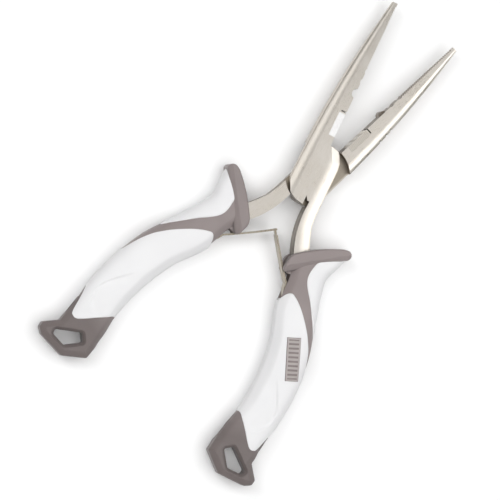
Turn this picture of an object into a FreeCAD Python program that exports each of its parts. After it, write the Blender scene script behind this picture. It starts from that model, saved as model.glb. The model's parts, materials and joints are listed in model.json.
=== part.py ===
"""Long-nose fishing pliers: two steel levers on a flush pivot rivet, each in a two-colour grip.

Each half is drawn closed, with the pivot at the origin, +Y towards the jaw tips, the jaw at
-X and the handle at +X. The back half is the same drawing turned half a turn about Y. Each
half is then turned open about the pivot, and the whole is set on the surface it lies on.
Lengths are in millimetres.
"""
import FreeCAD, Part
import math
import os
import re

import Sketcher

# Single sizes. Each name is a cell of the sheet.
SIZES = {
    "open_angle": 21.2,        # between the two halves as they lie
    "lap": 5.0,                # thickness of one joint plate
    "play": 0.05,              # half the gap between the plates, and between the jaws
    "top_round": 15.2,         # jaw end of a joint plate, about the pivot
    "bottom_round": 12.9,      # handle end of a joint plate
    "shoulder_gap": 0.35,      # from a plate's round end to the other half's shoulder
    "plate_bevel": 3.6,        # width of the sloped strip beside the plate's outer edge
    "plate_bevel_drop": 1.2,
    "shank_inner_round": 44.7,
    "rivet_radius": 3.2,
    "rivet_head_radius": 4.4,
    "rivet_head_depth": 1.6,
    "rivet_fit": 0.05,
    "tooth_pitch": 1.0,
    "tooth_depth": 0.5,
    "tooth_first": 53.0,
    "nick_radius": 1.8,        # two shallow hollows behind the teeth
    "nick_centre": 1.3,
    "nick_far": 51.5,
    "nick_near": 46.5,
    "crimp_place": 40.7,       # round hollow of the front jaw, boss of the back jaw
    "crimp_radius": 2.27,
    "crimp_centre": 0.57,
    "crimp_gap": 0.42,
    "boss_step": 0.8,          # how much thinner the boss is than the jaw
    "slot_place": 30.9,
    "slot_width": 0.6,
    "slot_depth": 2.5,
    "cutter_start": 19.3,
    "cutter_length": 11.0,
    "cutter_width": 3.0,
    "cutter_sunk": 0.1,        # how far the cutter stays under the jaw's faces
    "margin": 1.0,             # how far a cutting outline runs past what it cuts
    "groove_radius": 0.7,      # three grip nicks on the back jaw's outer side
    "groove_bite": 0.4,
    "groove_far": 39.0,
    "groove_middle": 36.0,
    "groove_near": 32.0,
    "tang_thickness": 5.0,
    "guard_thickness": 14.8,
    "guard_bevel": 1.0,
    "tail_thickness": 10.6,
    "tail_bevel": 1.2,
    "skin": 2.2,               # thickness of the white sleeve and of the shoulder pad
    "badge_proud": 0.3,
    "badge_sunk": 0.8,
    "badge_width": 5.8,
    "badge_length": 18.0,
    "badge_tilt": 22.8,
    "leaf_width": 5.5,
    "leaf_thickness": 0.8,
    "leaf_bow": 0.25,          # how far the long run of the leaf stands out, and its short one
    "leaf_foot_bow": 0.5,
    "leaf_gap": 0.4,
    "hook_width": 2.0,         # tongue of the front leaf's tip
    "hook_gap": 0.5,
    "hook_length": 2.4,
    "pin_radius": 0.8,
    "pin_hold": 1.75,          # length of the pin held in the grip beyond the leaf
    "pin_fit": 0.06,
    "curl_radius": 1.7,        # rolled eye of the leaf, around its pin
}

# Places in the closed drawing: each name gives two cells, its x and its y.
PLACES = {
    "flank_top": (-9.9, -3.0), "flank_bend": (-9.3, -6.0), "flank_foot": (-7.3, -10.3),
    "crotch": (2.2, -12.7), "plate_corner": (5.0, 14.35), "plate_neck": (7.3, 10.0),
    "plate_foot": (1.2, -10.7), "plate_side": (7.8, 7.0), "shank_top": (7.8, -15.0),
    "shank_bend": (8.3, -20.0),
    "shank_knee": (10.0, -25.0), "shank_end": (13.5, -33.5),
    "shank_inner_end": (7.4, -36.5), "tang_root": (8.0, -30.0),
    "tang_inner_top": (12.0, -42.0), "tang_inner_knee": (15.5, -54.0),
    "tang_inner_low": (20.5, -84.0), "tang_inner_end": (19.5, -108.0),
    "tang_outer_end": (25.5, -108.0), "tang_outer_low": (28.0, -84.0),
    "tang_outer_knee": (23.5, -54.0), "tang_outer_top": (20.0, -42.0),
    "guard_heel": (5.2, -42.3), "guard_root": (4.9, -36.0), "guard_front": (6.4, -33.6),
    "guard_rise": (20.0, -26.0), "guard_peak": (26.0, -22.7), "guard_tip": (29.2, -24.0),
    "guard_edge": (28.8, -26.3), "guard_under": (20.0, -32.5), "guard_low": (10.0, -40.0),
    "pad_front": (16.5, -35.1), "pad_waist": (15.9, -40.5), "pad_turn": (17.8, -44.5),
    "pad_run": (26.0, -56.0), "pad_end": (32.5, -65.5), "pad_far": (42.0, -65.5),
    "pad_corner": (42.0, -18.0),
    "sleeve_lip": (7.0, -54.5), "sleeve_start": (12.8, -49.8), "sleeve_shoulder": (18.0, -53.0),
    "sleeve_band": (28.0, -64.5), "sleeve_edge": (33.2, -76.0), "sleeve_far": (42.0, -86.0),
    "sleeve_low_far": (42.0, -104.0), "sleeve_low": (29.5, -117.0),
    "sleeve_foot": (27.0, -119.2), "sleeve_foot_inner": (20.0, -111.0),
    "sleeve_low_inner": (6.0, -102.6),
    "tail_inner": (12.4, -113.0), "tail_corner": (10.3, -126.5), "tail_base": (18.5, -133.5),
    "tail_base_far": (31.0, -133.5), "tail_heel": (34.0, -131.7), "tail_tip": (34.3, -129.6),
    "tail_notch": (30.3, -123.5), "tail_outer": (31.2, -114.0),
    "eye_inner": (15.9, -123.2), "eye_top": (19.4, -120.2), "eye_outer": (28.7, -127.8),
    "eye_heel": (27.8, -129.9), "eye_low": (20.8, -129.9),
    "badge_middle": (25.5, -75.5),
    "leaf_tip": (-5.5, -27.4), "leaf_knee": (9.0, -46.7), "leaf_pin": (12.0, -54.5),
    "slot_mouth": (-6.0, -30.0), "slot_guard": (9.0, -30.0), "slot_neck": (10.4, -43.0),
    "slot_back": (14.2, -52.5), "slot_low": (14.2, -56.6), "slot_foot": (4.0, -56.6),
}

# Jaw sections from the joint to the tip: place, width, thickness, width and drop of the round.
# The first two are as thick as the joint, so their third value has no cell.
JAW = {
    "heel": (-13.0, 9.7, None, 3.9, 1.3),
    "hip": (10.0, 9.6, None, 3.8, 1.3),
    "waist": (30.0, 8.7, 9.3, 3.5, 1.3),
    "middle": (50.0, 7.0, 7.8, 3.0, 1.2),
    "nose": (70.0, 4.5, 5.4, 2.1, 1.0),
    "point": (84.5, 2.3, 3.4, 1.1, 0.7),
}

# Grip sections from guard to tail: place, inner edge, outer edge, half thickness.
GRIP = {
    "collar": (-27.0, 18.5, 28.8, 5.0),
    "throat": (-31.0, 12.5, 26.8, 6.2),
    "neck": (-37.0, 7.8, 24.9, 6.8),
    "shoulder": (-45.0, 8.6, 25.8, 6.9),
    "upper": (-56.0, 9.0, 28.8, 7.0),
    "palm": (-71.0, 13.5, 33.0, 7.2),
    "belly": (-88.0, 15.5, 34.5, 7.2),
    "lower": (-105.0, 14.4, 33.2, 6.6),
    "wrist": (-117.0, 11.3, 30.6, 5.6),
    "foot": (-124.0, 10.8, 29.9, 5.2),
}

ROUGH_LENGTH = 60.0          # longer than anything that it trims
ABOVE = "lap + margin"       # a level clear of the joint's face
THROUGH = "2 * (lap + margin)"

doc = FreeCAD.newDocument("fishing_pliers")
sizes = doc.addObject("Spreadsheet::Sheet", "sizes")
ALIASES = set()


def fill_sheet():
    """Write every size into its own named cell."""
    rows = dict(SIZES)
    for name, (across, along) in PLACES.items():
        rows[name + "_x"] = across
        rows[name + "_y"] = along
    for name, values in JAW.items():
        for kind, size in zip(("place", "width", "thick", "strip", "drop"), values):
            rows["jaw_" + name + "_" + kind] = size
    for name, values in GRIP.items():
        for kind, size in zip(("place", "inner", "outer", "half"), values):
            rows["grip_" + name + "_" + kind] = size
    given = {name: size for name, size in rows.items() if size is not None}
    for row, (name, size) in enumerate(given.items(), start=1):
        sizes.set("A%d" % row, name)
        sizes.set("B%d" % row, str(size))
        sizes.setAlias("B%d" % row, name)
        ALIASES.add(name)
    doc.recompute()


def bound(text):
    """The expression with each cell's name led back to the sheet."""
    return re.sub(r"[A-Za-z_]\w*", lambda m: "sizes." + m[0] if m[0] in ALIASES else m[0], text)


def value(text):
    """The expression's present value."""
    return float(sizes.evalExpression(bound(text)))


def body(name):
    """A new empty body."""
    return doc.addObject("PartDesign::Body", name)


def origin_item(of_body, role):
    """One of a body's own origin planes or axes."""
    return next(item for item in of_body.Origin.OriginFeatures if item.Role == role)


def sketch(of_body, name, role, lift):
    """An empty sketch on an origin plane, lifted along the plane's normal."""
    drawing = of_body.newObject("Sketcher::SketchObject", name)
    drawing.AttachmentSupport = [(origin_item(of_body, role), "")]
    drawing.MapMode = "FlatFace"
    drawing.setExpression("AttachmentOffset.Base.z", bound(lift))
    return drawing


def hold(drawing, arguments, text):
    """A dimension of a sketch, bound to an expression."""
    index = drawing.addConstraint(Sketcher.Constraint(*arguments, value(text)))
    drawing.setExpression("Constraints[%d]" % index, bound(text))


def corner(item):
    """The two expressions and the radius of a corner: a place's name or a tuple."""
    if isinstance(item, str):
        return item + "_x", item + "_y", None
    if len(item) == 2 and item[0] in PLACES:
        return item[0] + "_x", item[0] + "_y", item[1]
    return item[0], item[1], item[2] if len(item) > 2 else None


def outline(of_body, name, role, lift, corners):
    """A closed outline. A corner with a radius starts an arc; a minus sign turns it over."""
    drawing = sketch(of_body, name, role, lift)
    steps = [corner(item) for item in corners]
    points = [FreeCAD.Vector(value(x), value(y), 0) for x, y, _ in steps]
    ends = []
    for index, (_, _, radius) in enumerate(steps):
        start = points[index]
        stop = points[(index + 1) % len(points)]
        if radius is None:
            edge = drawing.addGeometry(Part.LineSegment(start, stop), False)
            ends.append((edge, 1, 2))
            continue
        size = value(radius)
        chord = stop - start
        side = FreeCAD.Vector(chord.y, -chord.x, 0).normalize() * math.copysign(1, size)
        rise = abs(size) - math.sqrt(size ** 2 - chord.Length ** 2 / 4)
        middle = (start + stop) * 0.5 + side * rise
        edge = drawing.addGeometry(Part.Arc(start, middle, stop), False)
        forward = (drawing.getPoint(edge, 1) - start).Length < 1e-6
        ends.append((edge, 1, 2) if forward else (edge, 2, 1))
        hold(drawing, ("Radius", edge), "abs(%s)" % radius)
    for index, (edge, _, last) in enumerate(ends):
        after, first, _ = ends[(index + 1) % len(ends)]
        drawing.addConstraint(Sketcher.Constraint("Coincident", edge, last, after, first))
    for (edge, first, _), (x, y, _) in zip(ends, steps):
        hold(drawing, ("DistanceX", -1, 1, edge, first), x)
        hold(drawing, ("DistanceY", -1, 1, edge, first), y)
    return drawing


def circles(of_body, name, role, lift, centres, radius):
    """Full circles of one radius."""
    drawing = sketch(of_body, name, role, lift)
    for x, y in centres:
        centre = FreeCAD.Vector(value(x), value(y), 0)
        normal = FreeCAD.Vector(0, 0, 1)
        edge = drawing.addGeometry(Part.Circle(centre, normal, value(radius)), False)
        hold(drawing, ("DistanceX", -1, 1, edge, 3), x)
        hold(drawing, ("DistanceY", -1, 1, edge, 3), y)
        hold(drawing, ("Radius", edge), radius)
    return drawing


def ellipse(of_body, name, role, lift, middle, half_wide, half_high):
    """An upright ellipse whose middle lies on the sketch's own x axis."""
    drawing = sketch(of_body, name, role, lift)
    wide, high = value(half_wide), value(half_high)
    centre = FreeCAD.Vector(value(middle), 0, 0)
    across = centre + FreeCAD.Vector(wide, 0, 0)
    upward = centre + FreeCAD.Vector(0, high, 0)
    drawing.addGeometry(Part.Ellipse(across, upward, centre), False)
    drawing.exposeInternalGeometry(0)
    drawing.addConstraint(Sketcher.Constraint("Horizontal", 1))
    hold(drawing, ("DistanceX", -1, 1, 0, 3), middle)
    hold(drawing, ("DistanceY", -1, 1, 0, 3), "0")
    hold(drawing, ("Distance", 1), "2 * (%s)" % half_wide)
    hold(drawing, ("Distance", 2), "2 * (%s)" % half_high)
    return drawing


def grow(of_body, name, drawing, height):
    """Pad a sketch along its plane's normal."""
    feature = of_body.newObject("PartDesign::Pad", name)
    feature.Profile = drawing
    feature.setExpression("Length", bound(height))
    return feature


def cut(of_body, name, drawing, depth):
    """Pocket a sketch against its plane's normal, and make sure that it removed something."""
    doc.recompute()
    before = of_body.Shape.Volume
    feature = of_body.newObject("PartDesign::Pocket", name)
    feature.Profile = drawing
    feature.setExpression("Length", bound(depth))
    doc.recompute()
    if of_body.Shape.Volume > before - 1e-6:
        raise RuntimeError(name + " cuts nothing")
    return feature


def slab(name, corners, height, middle="0"):
    """A body of one outline, as thick as height, about a level."""
    solid = body(name)
    base = "%s - (%s) / 2" % (middle, height)
    grow(solid, name + "_pad", outline(solid, name + "_line", "XY_Plane", base, corners), height)
    return solid


def flat_faces(feature, level):
    """The names of the feature's faces that lie level at a height."""
    names = []
    for index, face in enumerate(feature.Shape.Faces, start=1):
        box = face.BoundBox
        if box.ZLength < 1e-6 and abs(box.ZMin - level) < 1e-6:
            names.append("Face%d" % index)
    return names


def bevel_rims(of_body, height, size):
    """Chamfer round the two level faces of a slab."""
    doc.recompute()
    base = of_body.Tip
    reach = value(height) / 2
    feature = of_body.newObject("PartDesign::Chamfer", of_body.Name + "_bevel")
    feature.Base = (base, flat_faces(base, reach) + flat_faces(base, -reach))
    feature.setExpression("Size", bound(size))


def shank_corners():
    """Outline of the full-thick shank, from beside the pivot into the guard."""
    return [("crotch_x", "0"), ("crotch", "shank_inner_round"), "shank_inner_end",
            "shank_end", "shank_knee", "shank_bend", "shank_top", "plate_side"]


def tang_corners():
    """Outline of the tang inside the grip, from the shank down and back."""
    return ["tang_root", "shank_inner_end", "tang_inner_top", "tang_inner_knee",
            "tang_inner_low", "tang_inner_end", "tang_outer_end", "tang_outer_low",
            "tang_outer_knee", "tang_outer_top", "shank_end"]


def jaw_loft(lever):
    """The jaw: flat towards the other jaw, and rounded along its outer edges."""
    drawings = []
    for name in JAW:
        width, thick, strip, drop, place = (
            "jaw_%s_%s" % (name, kind) for kind in ("width", "thick", "strip", "drop", "place"))
        top = "%s / 2" % thick if thick in ALIASES else "lap"
        bend = "(%s^2 + %s^2) / (2 * %s)" % (strip, drop, drop)
        corners = [("-play", "-%s" % top), ("-play", top),
                   ("%s - %s" % (strip, width), top, bend),
                   ("-%s" % width, "%s - %s" % (top, drop)),
                   ("-%s" % width, "%s - %s" % (drop, top), bend),
                   ("%s - %s" % (strip, width), "-%s" % top)]
        drawings.append(outline(lever, "jaw_" + name, "XZ_Plane", "-%s" % place, corners))
    loft = lever.newObject("PartDesign::AdditiveLoft", "jaw")
    loft.Profile = drawings[0]
    loft.Sections = drawings[1:]
    return loft


def plate_and_shank(lever):
    """Trim the heel of the jaw, add the half-thick joint plate and the full-thick shank."""
    far = "-%s" % ROUGH_LENGTH
    flank = outline(lever, "flank_line", "XY_Plane", ABOVE,
                    ["flank_top", "flank_bend", ("flank_foot", "bottom_round"), "crotch",
                     ("crotch_x", far), (far, far), (far, "flank_top_y")])
    cut(lever, "flank", flank, THROUGH)
    shank = outline(lever, "shank_line", "XY_Plane", "-lap", shank_corners())
    grow(lever, "shank", shank, "2 * lap")
    radius = "bottom_round + shoulder_gap"
    low = outline(lever, "low_shoulder_line", "XY_Plane", "play",
                  [("-(%s)" % radius, "0", radius), ("0", "-(%s)" % radius, radius),
                   (radius, "0")])
    cut(lever, "low_shoulder", low, ABOVE)
    radius = "top_round + shoulder_gap"
    high = outline(lever, "high_shoulder_line", "XY_Plane", "play",
                   [(radius, "-margin"), (radius, "0", radius), ("0", radius, radius),
                    ("-(%s)" % radius, "0"), ("-(%s)" % radius, "-margin")])
    cut(lever, "high_shoulder", high, ABOVE)
    plate = outline(lever, "plate_line", "XY_Plane", "play",
                    [("jaw_hip_strip - jaw_hip_width", "0"), "plate_foot",
                     ("shank_top_x", "plate_foot_y"), "plate_side", "plate_neck",
                     ("plate_corner", "top_round"), ("-play", "top_round"),
                     ("jaw_hip_strip - jaw_hip_width", "top_round")])
    grow(lever, "plate", plate, "lap - play")


def bevel_outer_edge(lever):
    """Slope the front edges of the plate and the shank on their outer side."""
    doc.recompute()
    base = lever.Tip
    level = value("lap")
    names = ["plate_corner", "plate_neck", "plate_side", "shank_top", "shank_bend",
             "shank_knee", "shank_end"]
    chain = [FreeCAD.Vector(value(name + "_x"), value(name + "_y"), level) for name in names]
    sides = []
    for index, edge in enumerate(base.Shape.Edges, start=1):
        box = edge.BoundBox
        if len(edge.Vertexes) != 2 or max(abs(box.ZMin - level), abs(box.ZMax - level)) > 1e-6:
            continue
        middle = edge.CenterOfMass
        for start, stop in zip(chain, chain[1:]):
            on_line = middle.distanceToLine(start, stop - start) < 1e-6
            if on_line and start.y > middle.y > stop.y:
                sides.append("Edge%d" % index)
    feature = lever.newObject("PartDesign::Chamfer", "outer_bevel")
    feature.Base = (base, sides)
    feature.ChamferType = "Two distances"
    feature.setExpression("Size", bound("plate_bevel_drop"))
    feature.setExpression("Size2", bound("plate_bevel"))


def jaw_face(lever):
    """Cutter seat, slot, nicks and teeth on the side that meets the other jaw."""
    seat = outline(lever, "seat_line", "XY_Plane", ABOVE, cutter_corners("margin"))
    cut(lever, "cutter_seat", seat, THROUGH)
    slot_end = "slot_place + slot_width"
    slot = outline(lever, "slot_line", "XY_Plane", ABOVE,
                   [("margin", "slot_place"), ("margin", slot_end), ("-slot_depth", slot_end),
                    ("-slot_depth", "slot_place")])
    cut(lever, "slot", slot, THROUGH)
    nicks = circles(lever, "nick_line", "XY_Plane", ABOVE,
                    [("nick_centre", "nick_far"), ("nick_centre", "nick_near")], "nick_radius")
    cut(lever, "nicks", nicks, THROUGH)
    tooth = outline(lever, "tooth_line", "XY_Plane", ABOVE,
                    [("margin", "tooth_first"), ("margin", "tooth_first + tooth_pitch"),
                     ("-play", "tooth_first + tooth_pitch"),
                     ("-play - tooth_depth", "tooth_first + tooth_pitch / 2"),
                     ("-play", "tooth_first")])
    first = cut(lever, "tooth", tooth, THROUGH)
    row = lever.newObject("PartDesign::LinearPattern", "teeth")
    row.Originals = [first]
    row.Direction = (origin_item(lever, "Y_Axis"), [""])
    count = int((value("jaw_point_place") - value("tooth_first")) / value("tooth_pitch")) - 1
    row.Occurrences = count
    row.setExpression("Length", bound("tooth_pitch * %d" % (count - 1)))
    lever.Tip = row
    doc.recompute()


def jaw_edge(place):
    """Width of the jaw at a place between its waist and its middle."""
    share = "(%s - jaw_waist_place) / (jaw_middle_place - jaw_waist_place)" % place
    return "jaw_waist_width + (jaw_middle_width - jaw_waist_width) * %s" % share


def cutter_corners(face):
    """Outline of the cutter's seat, up to a given face."""
    return [("-cutter_width", "cutter_start"), (face, "cutter_start"),
            (face, "cutter_start + cutter_length"),
            ("-cutter_width", "cutter_start + cutter_length")]


def steel_lever(name, is_front):
    """One forged lever: jaw, joint plate, shank and tang."""
    lever = body(name)
    jaw_loft(lever)
    plate_and_shank(lever)
    bevel_outer_edge(lever)
    tang = outline(lever, "tang_line", "XY_Plane", "-tang_thickness / 2", tang_corners())
    grow(lever, "tang", tang, "tang_thickness")
    jaw_face(lever)
    if is_front:
        hollow = circles(lever, "crimp_line", "XY_Plane", ABOVE,
                         [("crimp_centre", "crimp_place")], "crimp_radius")
        cut(lever, "crimp", hollow, THROUGH)
    else:
        thickness = "(jaw_middle_thick - boss_step)"
        boss = circles(lever, "crimp_line", "XY_Plane", "-%s / 2" % thickness,
                       [("-crimp_centre", "crimp_place")], "crimp_radius - crimp_gap")
        grow(lever, "crimp", boss, thickness)
        rows = [("groove_bite - groove_radius - (%s)" % jaw_edge(place), place)
                for place in ("groove_far", "groove_middle", "groove_near")]
        grooves = circles(lever, "groove_line", "XY_Plane", ABOVE, rows, "groove_radius")
        cut(lever, "grooves", grooves, THROUGH)
    rivet_way = "0" if is_front else "rivet_fit"
    bore = circles(lever, "bore_line", "XY_Plane", ABOVE, [("0", "0")],
                   "rivet_radius + %s" % rivet_way)
    cut(lever, "bore", bore, THROUGH)
    sink = outline(lever, "sink_line", "XZ_Plane", "0", rivet_cone(rivet_way, ABOVE))
    groove = lever.newObject("PartDesign::Groove", "sink")
    groove.Profile = sink
    groove.ReferenceAxis = (sink, ["V_Axis"])
    doc.recompute()
    return lever


def rivet_cone(gap, top):
    """Half section of a countersunk rivet head, from the shaft out to the flush face."""
    return [("0", "lap - rivet_head_depth - %s" % gap),
            ("rivet_radius + %s" % gap, "lap - rivet_head_depth - %s" % gap),
            ("rivet_head_radius + %s" % gap, "lap - %s" % gap),
            ("rivet_head_radius + %s" % gap, top), ("0", top)]


def pivot_rivet(name):
    """Turned rivet with a countersunk head at each end, ground flush."""
    rivet = body(name)
    low = "rivet_head_depth - lap"
    half = outline(rivet, "rivet_line", "XZ_Plane", "0",
                   [("0", "-lap"), ("rivet_head_radius", "-lap"), ("rivet_radius", low),
                    ("rivet_radius", "lap - rivet_head_depth"), ("rivet_head_radius", "lap"),
                    ("0", "lap")])
    turned = rivet.newObject("PartDesign::Revolution", "rivet_turn")
    turned.Profile = half
    turned.ReferenceAxis = (half, ["V_Axis"])
    return rivet


def grip_form(name, inset):
    """The whole grip's rounded form, drawn in by an inset."""
    solid = body(name)
    drawings = []
    for section in GRIP:
        place, inner, outer, half = (
            "grip_%s_%s" % (section, kind) for kind in ("place", "inner", "outer", "half"))
        drawings.append(ellipse(solid, name + "_" + section, "XZ_Plane", "-%s" % place,
                                "(%s + %s) / 2" % (inner, outer),
                                "(%s - %s) / 2 - %s" % (outer, inner, inset),
                                "%s - %s" % (half, inset)))
    loft = solid.newObject("PartDesign::AdditiveLoft", name + "_loft")
    loft.Profile = drawings[0]
    loft.Sections = drawings[1:]
    return solid


def boolean(kind, name, *shapes):
    """A boolean of the document: Cut and Common take two shapes, MultiFuse takes more."""
    result = doc.addObject("Part::" + kind, name)
    if kind == "MultiFuse":
        result.Shapes = list(shapes)
    else:
        result.Base, result.Tool = shapes
    return result


def leaf_corners():
    """The leaf seen from the front: a thin strip from the tip over a knee to the rolled eye."""
    run_x, run_y = "(leaf_pin_x - leaf_tip_x)", "(leaf_pin_y - leaf_tip_y)"
    share = "leaf_thickness / 2 / sqrt(%s^2 + %s^2)" % (run_x, run_y)
    aside = {"x": "-%s * %s" % (run_y, share), "y": "%s * %s" % (run_x, share)}
    above, below = {}, {}
    for place in ("leaf_tip", "leaf_knee", "leaf_pin"):
        above[place] = tuple("%s_%s + (%s)" % (place, axis, aside[axis]) for axis in "xy")
        below[place] = tuple("%s_%s - (%s)" % (place, axis, aside[axis]) for axis in "xy")
    return [(*above["leaf_tip"], bow_radius("leaf_tip", "leaf_knee", "leaf_bow")),
            (*above["leaf_knee"], bow_radius("leaf_knee", "leaf_pin", "leaf_foot_bow")),
            above["leaf_pin"],
            (*below["leaf_pin"], "-" + bow_radius("leaf_knee", "leaf_pin", "leaf_foot_bow")),
            (*below["leaf_knee"], "-" + bow_radius("leaf_tip", "leaf_knee", "leaf_bow")),
            below["leaf_tip"]]


def bow_radius(start, stop, bow):
    """Radius of an arc between two places that stands out by a bow."""
    run = "(%s_x - %s_x)^2 + (%s_y - %s_y)^2" % (stop, start, stop, start)
    return "((%s) / (8 * %s) + %s / 2)" % (run, bow, bow)


def leaf_spring(name, is_front):
    """Flat spring with a rolled eye; the front one ends in a tongue, the back one in a fork."""
    leaf = body(name)
    strip = outline(leaf, name + "_line", "XY_Plane", "-leaf_width / 2", leaf_corners())
    grow(leaf, name + "_strip", strip, "leaf_width")
    curl = circles(leaf, name + "_curl_line", "XY_Plane", "-leaf_width / 2",
                   [("leaf_pin_x", "leaf_pin_y")], "curl_radius")
    grow(leaf, name + "_curl", curl, "leaf_width")
    eye = circles(leaf, name + "_eye_line", "XY_Plane", "leaf_width",
                  [("leaf_pin_x", "leaf_pin_y")], "pin_radius + pin_fit")
    cut(leaf, name + "_eye", eye, "2 * leaf_width")
    if is_front:
        narrow_tip(leaf, name + "_upper", "hook_width / 2", "leaf_width")
        narrow_tip(leaf, name + "_lower", "-leaf_width", "-hook_width / 2")
    else:
        narrow_tip(leaf, name + "_fork", "-hook_width / 2 - hook_gap", "hook_width / 2 + hook_gap")
    return leaf


def narrow_tip(leaf, name, low, high):
    """Take away a band of the leaf's tip between two levels."""
    band = outline(leaf, name + "_line", "YZ_Plane", str(ROUGH_LENGTH),
                   [("leaf_tip_y - hook_length", low), ("leaf_tip_y + margin", low),
                    ("leaf_tip_y + margin", high), ("leaf_tip_y - hook_length", high)])
    cut(leaf, name, band, str(2 * ROUGH_LENGTH))


def spring_pin(name):
    """Straight pin across the grip that the leaf's rolled eye turns on."""
    pin = body(name)
    ring = circles(pin, name + "_line", "XY_Plane", "-leaf_width / 2 - pin_hold",
                   [("leaf_pin_x", "leaf_pin_y")], "pin_radius")
    grow(pin, name + "_pad", ring, "leaf_width + 2 * pin_hold")
    return pin


def badge_inlay(name, form_side):
    """Plain inlay let into the front of the sleeve, following the grip's round."""
    raised = grip_form(form_side + "_badge_top", "-badge_proud")
    under = grip_form(form_side + "_badge_under", "badge_sunk")
    tilt = math.radians(value("badge_tilt"))
    along = FreeCAD.Vector(math.sin(tilt), -math.cos(tilt), 0)
    across = FreeCAD.Vector(math.cos(tilt), math.sin(tilt), 0)
    corners = []
    for side, end in ((-1, -1), (-1, 1), (1, 1), (1, -1)):
        place = [
            "badge_middle_%s + %.6f * badge_width + %.6f * badge_length" % (
                axis, side * getattr(across, axis) / 2, end * getattr(along, axis) / 2)
            for axis in ("x", "y")]
        corners.append(tuple(place))
    area = slab(form_side + "_badge_area", corners, "guard_thickness", "guard_thickness / 2")
    return boolean("Cut", name, boolean("Common", name + "_rough", raised, area), under)


def grip_tools(side):
    """The slabs that shape one grip: what is added to its form and what is taken away."""
    tools = {}
    tools["guard"] = slab(side + "_guard",
                          ["guard_heel", "guard_low", "guard_under", "guard_edge", "guard_tip",
                           "guard_peak", "guard_rise", "guard_front", "guard_root"],
                          "guard_thickness")
    bevel_rims(tools["guard"], "guard_thickness", "guard_bevel")
    tools["tail"] = slab(side + "_tail",
                         ["tail_inner", "tail_corner", "tail_base", "tail_base_far",
                          "tail_heel", "tail_tip", "tail_notch", "tail_outer"],
                         "tail_thickness")
    bevel_rims(tools["tail"], "tail_thickness", "tail_bevel")
    tools["eye"] = slab(side + "_eye",
                        ["eye_inner", "eye_low", "eye_heel", "eye_outer", "eye_top"],
                        "2 * tail_thickness")
    tools["tang"] = slab(side + "_tang", tang_corners(), "tang_thickness")
    tools["shank"] = slab(side + "_shank", shank_corners(), "2 * lap")
    tools["mouth"] = slab(side + "_mouth",
                          ["slot_mouth", "slot_foot", "slot_low", "slot_back", "slot_neck",
                           "slot_guard"], "leaf_width + 2 * leaf_gap")
    slope = "(guard_under_y - guard_low_y) / (guard_under_x - guard_low_x)"
    top = "guard_low_y + (pad_front_x - guard_low_x) * %s" % slope
    tools["pad_area"] = slab(side + "_pad_area",
                             [("pad_front_x", top), "pad_waist", "pad_turn", "pad_run",
                              "pad_end", "pad_far", "pad_corner", "guard_edge",
                              "guard_under"], "2 * guard_thickness")
    tools["sleeve_area"] = slab(side + "_sleeve_area",
                                ["sleeve_lip", "sleeve_low_inner", "sleeve_foot_inner",
                                 "sleeve_foot", "sleeve_low", "sleeve_low_far", "sleeve_far",
                                 "sleeve_edge", "sleeve_band", "sleeve_shoulder",
                                 "sleeve_start"], "2 * guard_thickness")
    return tools


def half(side):
    """All the pieces of one half, in the closed drawing. Returns their objects by node name."""
    is_front = side == "front"
    pieces = {side + "_lever": steel_lever(side + "_lever", is_front)}
    pieces[side + "_cutter"] = slab(side + "_cutter", cutter_corners("-play"),
                                    "jaw_waist_thick - cutter_sunk")
    pieces[side + "_leaf_spring"] = leaf_spring(side + "_leaf_spring", is_front)
    pin = spring_pin(side + "_spring_pin")
    pieces[side + "_spring_pin"] = pin

    tools = grip_tools(side)
    form = grip_form(side + "_form", "0")
    bed = grip_form(side + "_bed", "skin")
    shell = boolean("Cut", side + "_shell", form, bed)
    pad = boolean("Common", side + "_shoulder_pad", shell, tools["pad_area"])
    pieces[side + "_shoulder_pad"] = pad

    sleeve_rough = boolean("Common", side + "_sleeve_rough", shell, tools["sleeve_area"])
    sleeve_cuts = [tools["mouth"], pin]
    if is_front:
        pieces["badge_inlay"] = badge_inlay("badge_inlay", side)
        sleeve_cuts.append(pieces["badge_inlay"])
    pieces[side + "_sleeve"] = boolean("Cut", side + "_sleeve", sleeve_rough,
                                       boolean("MultiFuse", side + "_sleeve_cuts",
                                               *sleeve_cuts))

    skins = boolean("MultiFuse", side + "_skins", pad, sleeve_rough)
    stem = boolean("Cut", side + "_stem", form, skins)
    tail = boolean("Cut", side + "_tail_end", tools["tail"], sleeve_rough)
    whole = boolean("MultiFuse", side + "_whole", stem, tools["guard"], tail)
    away = boolean("MultiFuse", side + "_away", tools["eye"], tools["tang"], tools["shank"],
                   tools["mouth"], pin)
    pieces[side + "_grip_core"] = boolean("Cut", side + "_grip_core", whole, away)
    return pieces


def placed(is_front, shift):
    """Where a half goes: the back one turned over, each turned open, both set on the surface."""
    angle = value("open_angle") / 2
    up = FreeCAD.Vector(0, 0, 1)
    turn = FreeCAD.Rotation(up, angle if is_front else -angle)
    if not is_front:
        turn = turn.multiply(FreeCAD.Rotation(FreeCAD.Vector(0, 1, 0), 180))
    return FreeCAD.Placement(shift, turn)


def broken(item):
    """Whether an object of the document failed to build."""
    if {"Invalid", "Error"} & set(item.State):
        return True
    return hasattr(item, "Shape") and item.Shape is not None and not item.Shape.isNull() \
        and not item.Shape.isValid()


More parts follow.
